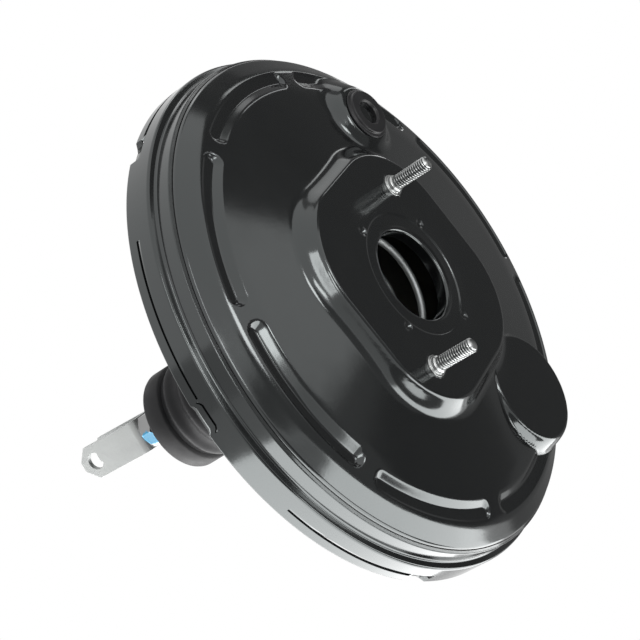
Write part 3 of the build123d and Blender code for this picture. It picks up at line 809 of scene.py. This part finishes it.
def on_rod(piece):
    """Turn a straight piece about its axis and tip it about the ball, then bring it to the part's frame."""
    hinge = Vector((math.cos(fork_turn), math.sin(fork_turn), 0))
    there, back = Matrix.Translation((0, 0, ball_z)), Matrix.Translation((0, 0, -ball_z))
    tip = there @ Matrix.Rotation(rod_tilt, 4, hinge) @ back
    turn = Matrix.Rotation(fork_turn, 4, "Z")
    frame_turn = Matrix(((MM, 0, 0, 0), (0, 0, -MM, 0), (0, MM, 0, 0), (0, 0, 0, 1)))
    piece.data.transform(frame_turn @ tip @ turn)
    return piece


def from_frame(piece):
    """Undo to_frame() on a piece that still has to be tipped."""
    back = Matrix(((1, 0, 0, 0), (0, 0, 1, 0), (0, -1, 0, 0), (0, 0, 0, 1)))
    piece.data.transform(back @ Matrix.Scale(1 / MM, 4))
    return piece


def fork_section():
    """Outline of the fork's bent strip, with both bends rounded inside and out."""
    top, bend = fork_base_z, fork_bend
    gap, inner_bend = fork_half - fork_wall, fork_bend - fork_wall
    section = [(-fork_half, fork_end_z)] + arc_points((-fork_half + bend, top - bend), bend, 180, 90, 8)
    section += arc_points((fork_half - bend, top - bend), bend, 90, 0, 8) + [(fork_half, fork_end_z)]
    section += [(gap, fork_end_z)]
    section += arc_points((gap - inner_bend, top - bend), inner_bend, 0, 90, 5)
    section += arc_points((-gap + inner_bend, top - bend), inner_bend, 90, 180, 5)
    return section + [(-gap, fork_end_z)]


def make_fork():
    """Stamped fork: bent strip, clipped ends, pin hole and the rod's hole."""
    top, clip = fork_base_z, fork_end_z + fork_clip_height
    strip_width, pin_reach = 24.0, 15.0
    flat_to_axis = Matrix(((1, 0, 0, 0), (0, 0, -1, 0), (0, 1, 0, 0), (0, 0, 0, 1)))
    side_to_axis = Matrix(((0, 0, 1, 0), (1, 0, 0, 0), (0, 1, 0, 0), (0, 0, 0, 1)))
    fork = solid("fork", prism(fork_section(), -strip_width / 2, strip_width / 2), flat_to_axis)
    side = [(-fork_side_half, top + 1), (fork_side_half, top + 1), (fork_side_half, clip),
            (fork_tip_half, fork_end_z + 0.2), (-fork_tip_half, fork_end_z + 0.2), (-fork_side_half, clip)]
    combine(fork, solid("side", prism(side, -strip_width / 2, strip_width / 2), side_to_axis), "INTERSECT")
    pin = arc_points((0.0, pin_z), pin_radius, 0, 352.5, 47)
    combine(fork, solid("pin", prism(pin, -pin_reach, pin_reach), side_to_axis), "DIFFERENCE")
    shank = arc_points((0.0, 0.0), rod_hole_radius, 0, 350, 35)
    combine(fork, solid("shank", prism(shank, top - 5, top + 2)), "DIFFERENCE")
    bevelled(fork, fork_bevel, 3, 28.0)
    fork.name = "stamped_fork"
    return on_rod(fork)


def make_locknut():
    """Hexagon nut with chamfered corners."""
    low, high = fork_base_z, fork_base_z + nut_height
    hexagon = arc_points((0.0, 0.0), nut_half / math.cos(math.radians(30)), 0, 300, 5)
    nut = solid("nut", prism(hexagon, low, high))
    cone = [(0, low), (nut_face_radius, low), (nut_corner_radius, low + nut_chamfer),
            (nut_corner_radius, high - nut_chamfer), (nut_face_radius, high), (0, high)]
    combine(nut, from_frame(turned("cone", cone, 96)), "INTERSECT")
    hole = arc_points((0.0, 0.0), rod_hole_radius, 0, 350, 35)
    combine(nut, solid("hole", prism(hole, low - 1, low + 10)), "DIFFERENCE")
    bevelled(nut, nut_bevel, 2, 25.0)
    nut.name = "chamfered_locknut"
    return on_rod(nut)


def rod_seat(front_z):
    """Collar of the pedal rod, as outline points from its front face to its rear one."""
    rear_z = front_z - rod_seat_thickness
    return [(rod_seat_radius, front_z), (rod_seat_radius, rear_z), (rod_radius, rear_z)]


def make_pedal_rod():
    """Pedal rod with its ball, seats and threaded end."""
    end = rod_shank_end_z
    line = [(0, rod_front_z), (rod_neck_radius, rod_front_z), (rod_neck_radius, rod_neck_end_z)]
    line += rod_seat(rod_neck_end_z) + [(rod_radius, rod_spring_seat_z)] + rod_seat(rod_spring_seat_z)
    line += [(rod_radius, end + 2.0), (rod_radius - 0.8, end + 1.2), (rod_radius - 0.8, end), (0, end)]
    shank = turned("shank", line, 48, 30.0, closed=False)
    turns = [math.radians(degrees) for degrees in range(0, 181, 10)]
    ball = [(ball_radius * math.sin(turn), ball_z + ball_radius * math.cos(turn)) for turn in turns]
    ball_piece = turned("ball", ball, 32, 60.0, closed=False)
    thread = thread_bar("thread", rod_radius, rod_thread_end_z, end + 1.0)
    return on_rod(from_frame(join("threaded_pedal_rod", [shank, ball_piece, thread])))


# Materials

def material(name, color, metallic=0.0, roughness=0.5, specular=0.5):
    """Principled material; returns the material, its node tree and its shader."""
    made = bpy.data.materials.new(name)
    made.use_nodes = True
    tree = made.node_tree
    shader = next(node for node in tree.nodes if node.type == "BSDF_PRINCIPLED")
    shader.inputs["Base Color"].default_value = (*color, 1)
    shader.inputs["Metallic"].default_value = metallic
    shader.inputs["Roughness"].default_value = roughness
    shader.inputs["Specular IOR Level"].default_value = specular
    return made, tree, shader


def noise(tree, scale, detail=4.0, roughness=0.55):
    """Noise over object coordinates, with its scale in turns per metre."""
    place = tree.nodes.new("ShaderNodeTexCoord")
    made = tree.nodes.new("ShaderNodeTexNoise")
    made.inputs["Scale"].default_value = scale
    made.inputs["Detail"].default_value = detail
    made.inputs["Roughness"].default_value = roughness
    tree.links.new(place.outputs["Object"], made.inputs["Vector"])
    return made.outputs["Fac"]


def ramp(tree, source, low, high, start, end):
    """Map a value that runs from start to end onto low to high."""
    made = tree.nodes.new("ShaderNodeMapRange")
    made.inputs["From Min"].default_value = start
    made.inputs["From Max"].default_value = end
    made.inputs["To Min"].default_value = low
    made.inputs["To Max"].default_value = high
    tree.links.new(source, made.inputs["Value"])
    return made.outputs["Result"]


def mix_colors(tree, share, first, second):
    """Mix of two colours, the first one fixed or from another node."""
    made = tree.nodes.new("ShaderNodeMix")
    made.data_type = "RGBA"
    if isinstance(first, tuple):
        made.inputs["A"].default_value = (*first, 1)
    else:
        tree.links.new(first, made.inputs["A"])
    made.inputs["B"].default_value = (*second, 1)
    tree.links.new(share, made.inputs["Factor"])
    return made.outputs["Result"]


def bump(tree, shader, height, strength, distance):
    made = tree.nodes.new("ShaderNodeBump")
    made.inputs["Strength"].default_value = strength
    made.inputs["Distance"].default_value = distance
    tree.links.new(height, made.inputs["Height"])
    tree.links.new(made.outputs["Normal"], shader.inputs["Normal"])


def black_paint():
    """Gloss black paint with a fine orange peel and faint dust."""
    made, tree, shader = material("gloss_black_paint", (0.006, 0.0064, 0.0068))
    shader.inputs["IOR"].default_value = 1.8
    shader.inputs["Specular Tint"].default_value = (0.94, 1.0, 1.0, 1.0)
    bump(tree, shader, noise(tree, 420.0, 2.0, 0.5), 0.03, 0.0003)
    dust = noise(tree, 60.0, 6.0, 0.65)
    tree.links.new(ramp(tree, dust, 0.10, 0.15, 0.35, 0.7), shader.inputs["Roughness"])
    return made


def plated_steel(name, first, second, rough_low, rough_high, threaded=False):
    """Plated steel with a fine grain, soft changes of tone and, where there is a thread, painted shade that
    darkens the grooves.
    """
    made, tree, shader = material(name, first, 1.0)
    tone = noise(tree, 90.0, 5.0, 0.6)
    color = mix_colors(tree, tone, first, second)
    if threaded:
        # Painted shade: along the thread's grooves the base colour is mixed towards near black, standing in for
        # the shade that falls in them.
        depth = tree.nodes.new("ShaderNodeAttribute")
        depth.attribute_name = "painted_groove_shade"
        color = mix_colors(tree, depth.outputs["Fac"], color, (0.05, 0.055, 0.06))
    tree.links.new(color, shader.inputs["Base Color"])
    tree.links.new(ramp(tree, tone, rough_low, rough_high, 0.3, 0.7), shader.inputs["Roughness"])
    bump(tree, shader, noise(tree, 900.0, 3.0, 0.5), 0.12, 0.0003)
    return made


def soft_matter(name, color, rough_low, rough_high, grain, strength):
    """Rubber, plastic, felt or foam with a fine grain and a soft change of tone."""
    made, tree, shader = material(name, color, specular=0.35)
    tone = noise(tree, 70.0, 5.0, 0.6)
    tree.links.new(ramp(tree, tone, rough_low, rough_high, 0.3, 0.7), shader.inputs["Roughness"])
    lighter = tuple(channel * 1.7 for channel in color)
    tree.links.new(mix_colors(tree, tone, color, lighter), shader.inputs["Base Color"])
    bump(tree, shader, noise(tree, grain, 3.0, 0.55), strength, 0.0004)
    return made


def painted_nut():
    """Plated nut with a ragged blue paint mark on one side."""
    nut_tone, mark_blue = (0.30, 0.30, 0.30), (0.01, 0.40, 0.72)
    made, tree, shader = material("nut_zinc", nut_tone, roughness=0.32)
    place = tree.nodes.new("ShaderNodeTexCoord")
    distance = tree.nodes.new("ShaderNodeVectorMath")
    distance.operation = "DISTANCE"
    distance.inputs[1].default_value = mark_place
    tree.links.new(place.outputs["Object"], distance.inputs[0])
    ragged = tree.nodes.new("ShaderNodeMath")
    ragged.operation = "MULTIPLY_ADD"
    tree.links.new(noise(tree, 500.0, 3.0, 0.6), ragged.inputs[0])
    ragged.inputs[1].default_value = mark_raggedness
    tree.links.new(distance.outputs["Value"], ragged.inputs[2])
    share = ramp(tree, ragged.outputs["Value"], 1.0, 0.0, mark_inner, mark_outer)
    tree.links.new(mix_colors(tree, share, nut_tone, mark_blue), shader.inputs["Base Color"])
    tree.links.new(ramp(tree, share, 1.0, 0.0, 0.0, 1.0), shader.inputs["Metallic"])
    bump(tree, shader, noise(tree, 900.0, 3.0, 0.5), 0.12, 0.0003)
    return made


def assign(piece, made):
    piece.data.materials.clear()
    piece.data.materials.append(made)


slot_materials = {
    "gloss_black_paint": black_paint(),
    "zinc_steel": plated_steel("zinc_steel", (0.62, 0.63, 0.62), (0.46, 0.47, 0.47), 0.22, 0.36, threaded=True),
    "fork_zinc": plated_steel("fork_zinc", (0.40, 0.41, 0.41), (0.31, 0.32, 0.31), 0.36, 0.50),
    "nut_zinc": painted_nut(),
    "spring_steel": plated_steel("spring_steel", (0.56, 0.58, 0.58), (0.44, 0.46, 0.46), 0.52, 0.62),
    "plate_steel": plated_steel("plate_steel", (0.42, 0.41, 0.38), (0.33, 0.33, 0.31), 0.35, 0.55),
    "grommet_rubber": soft_matter("grommet_rubber", (0.010, 0.010, 0.011), 0.30, 0.45, 700.0, 0.10),
    "boot_rubber": soft_matter("boot_rubber", (0.006, 0.006, 0.007), 0.48, 0.66, 600.0, 0.18),
    "seal_rubber": soft_matter("seal_rubber", (0.015, 0.015, 0.016), 0.4, 0.55, 600.0, 0.15),
    "hub_plastic": soft_matter("hub_plastic", (0.05, 0.028, 0.018), 0.4, 0.55, 400.0, 0.12),
    "guide_plastic": soft_matter("guide_plastic", (0.55, 0.53, 0.48), 0.4, 0.55, 400.0, 0.08),
    "filter_felt": soft_matter("filter_felt", (0.5, 0.48, 0.42), 0.85, 0.95, 1500.0, 0.6),
    "silencer_foam": soft_matter("silencer_foam", (0.03, 0.03, 0.03), 0.85, 0.95, 1200.0, 0.7),
}
slot_names = {part["node"]: part["material_slot"] for part in frame["record"]["subparts"]}
for node_name, slot_name in slot_names.items():
    assign(frame["nodes"][node_name], slot_materials[slot_name])


# Pieces that stand for nodes of the frame

def dress(piece, node, body):
    """Let a finished piece stand for a node of the frame."""
    name = slot_names[node]
    assign(piece, slot_materials[name])
    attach(piece, body)
    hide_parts(node)
    return piece


dress(make_front_shell(), "front_shell", "housing")
dress(make_rear_shell(), "rear_shell", "housing")
dress(make_front_studs(), "master_cylinder_studs", "housing")
dress(make_rear_studs(), "bulkhead_studs", "housing")
dress(make_grommet(), "vacuum_grommet", "housing")
dress(make_fork(), "clevis", "pedal_rod")
dress(make_locknut(), "clevis_locknut", "pedal_rod")
dress(make_pedal_rod(), "input_rod", "pedal_rod")

return_spring = make_spring("coiled_return_spring", return_spring_form, 16)
dress(return_spring, "return_spring", "housing")
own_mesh(return_spring)
poppet_spring = make_spring("coiled_poppet_spring", poppet_spring_form)
dress(poppet_spring, "poppet_spring", "power_piston")
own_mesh(poppet_spring)
rod_spring = make_spring("coiled_rod_spring", rod_spring_form)
dress(rod_spring, "rod_return_spring", "power_piston")
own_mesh(rod_spring)
boot = dress(make_boot(), "boot", "housing")
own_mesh(boot)


# Studio

studio_centre = (0, -0.03, 0)
lamp_distance = 2.4
screen_columns, screen_rows = 24, 10


def place_camera():
    data = bpy.data.cameras.new("camera")
    data.lens = camera_lens
    data.sensor_width = sensor_width
    data.clip_start, data.clip_end = 0.05, 50.0
    camera = bpy.data.objects.new("camera", data)
    bpy.context.scene.collection.objects.link(camera)
    axes = Matrix((camera_right, camera_up, camera_back)).transposed().to_4x4()
    camera.matrix_world = Matrix.Translation(camera_place) @ axes
    bpy.context.scene.camera = camera


def larger(tree, first, second):
    """Larger of two node values."""
    made = tree.nodes.new("ShaderNodeMath")
    made.operation = "MAXIMUM"
    tree.links.new(first, made.inputs[0])
    tree.links.new(second, made.inputs[1])
    return made.outputs["Value"]


def make_world(strength=0.8):
    """White studio: white to the camera and in reflections, and plain soft light on the object."""
    world = bpy.data.worlds.new("world")
    bpy.context.scene.world = world
    world.use_nodes = True
    tree = world.node_tree
    tree.nodes.clear()
    rays = tree.nodes.new("ShaderNodeLightPath").outputs
    seen = larger(tree, rays["Is Camera Ray"], rays["Is Glossy Ray"])
    mixed = tree.nodes.new("ShaderNodeMixShader")
    tree.links.new(larger(tree, seen, rays["Is Transmission Ray"]), mixed.inputs["Fac"])
    for index, level in ((1, strength), (2, 1.0)):
        background = tree.nodes.new("ShaderNodeBackground")
        background.inputs["Color"].default_value = (1, 1, 1, 1)
        background.inputs["Strength"].default_value = level
        tree.links.new(background.outputs["Background"], mixed.inputs[index])
    output = tree.nodes.new("ShaderNodeOutputWorld")
    tree.links.new(mixed.outputs["Shader"], output.inputs["Surface"])


def make_floor(half=4.0, depth=1.6):
    """Plain pale floor well below the part, which hangs on its bulkhead."""
    mesh = bpy.data.meshes.new("floor")
    corners = [(-half, -half, -depth), (half, -half, -depth), (half, half, -depth), (-half, half, -depth)]
    mesh.from_pydata(corners, [], [(0, 1, 2, 3)])
    floor = link("floor", mesh)
    assign(floor, material("floor", (0.9, 0.9, 0.9), roughness=0.9)[0])


def heading(turn, lift):
    """Unit direction: turn in degrees from straight ahead towards the right, lift above the horizon."""
    turn, lift = math.radians(turn), math.radians(lift)
    return Vector((math.cos(lift) * math.sin(turn), -math.cos(lift) * math.cos(turn), math.sin(lift)))


def glowing(name, level):
    """Material that gives off a plain white light."""
    made = bpy.data.materials.new(name)
    made.use_nodes = True
    tree = made.node_tree
    tree.nodes.clear()
    glow = tree.nodes.new("ShaderNodeEmission")
    glow.inputs["Color"].default_value = (1, 1, 1, 1)
    glow.inputs["Strength"].default_value = level
    output = tree.nodes.new("ShaderNodeOutputMaterial")
    tree.links.new(glow.outputs["Emission"], output.inputs["Surface"])
    return made


def screen(name, start, end, lows, highs, level, distance=2.6):
    """Curved grey screen, seen only in reflections: from one turn to another, between two edges of lift.

    lows and highs give the lower and the upper edge's lift at the start and at the end.
    """
    points = []
    for row in range(screen_rows + 1):
        for column in range(screen_columns + 1):
            along, up = column / screen_columns, row / screen_rows
            low = lows[0] + (lows[1] - lows[0]) * along
            high = highs[0] + (highs[1] - highs[0]) * along
            points.append(heading(start + (end - start) * along, low + (high - low) * up) * distance)
    mesh = bpy.data.meshes.new(name)
    mesh.from_pydata([tuple(p) for p in points], [],
                     grid_faces(screen_rows + 1, screen_columns + 1, closed=False))
    piece = link(name, mesh)
    assign(piece, glowing(name, level))
    for ray in ("camera", "diffuse", "shadow"):
        setattr(piece, "visible_" + ray, False)


def lamp(name, place, size, level, target=None, turn=0.0):
    """Rectangular lamp of a given brightness, aimed at a target or else straight up."""
    data = bpy.data.lights.new(name, "AREA")
    data.shape = "RECTANGLE"
    data.size, data.size_y = size
    data.energy = level * math.pi * size[0] * size[1]
    made = bpy.data.objects.new(name, data)
    made.location = place
    if target is None:
        made.rotation_euler = (math.pi, 0, math.radians(turn))
    else:
        look = (Vector(target) - Vector(place)).to_track_quat("-Z", "Y")
        made.rotation_euler = (look @ Quaternion((0, 0, 1), math.radians(turn))).to_euler()
    made.visible_camera = False
    made.visible_diffuse = False
    bpy.context.scene.collection.objects.link(made)


def small_lamp(name, turn, lift, size, level, roll=0.0):
    """Lamp in a direction from the drum, aimed back at it."""
    lamp(name, heading(turn, lift) * lamp_distance, size, level, studio_centre, roll)


place_camera()
make_world()
make_floor()
screen("right_screen", 38, 62, (-19, -13), (72, 72), 0.12)
screen("far_screen", 62, 120, (-12, 8), (72, 72), 0.22)
screen("top_screen", 4, 38, (34, 31), (74, 72), 0.14)
screen("upper_screen", -35, 4, (64, 64), (76, 74), 0.3)
screen("corner_screen", 34.4, 38, (10, 10), (15, 22.5), 0.13)
screen("low_screen", -13, 38, (-20, -21), (3, 14), 0.26)
screen("side_screen", -150, -110, (-31, -29), (-12, -12), 0.5)
screen("under_screen", -60, 80, (-90, -90), (-38, -36), 0.2, 1.3)
screen("strip_light", 30, 110, (58, 44), (63, 48), 2.2, 2.5)
screen("top_light", -180, 180, (84, 84), (90, 90), 3.0, 2.5)
lamp("low_light", (2.19, 1.60, -1.0), (5.9, 7.0), 4.1, turn=19.3)
small_lamp("front_light", -25, -8, (0.34, 0.70), 7.0)
small_lamp("flank_light", -43, -4, (0.30, 1.9), 5.0, roll=16.0)
small_lamp("edge_light", 3, 10, (0.50, 0.50), 7.0)

bpy.context.scene.view_settings.view_transform = "Standard"
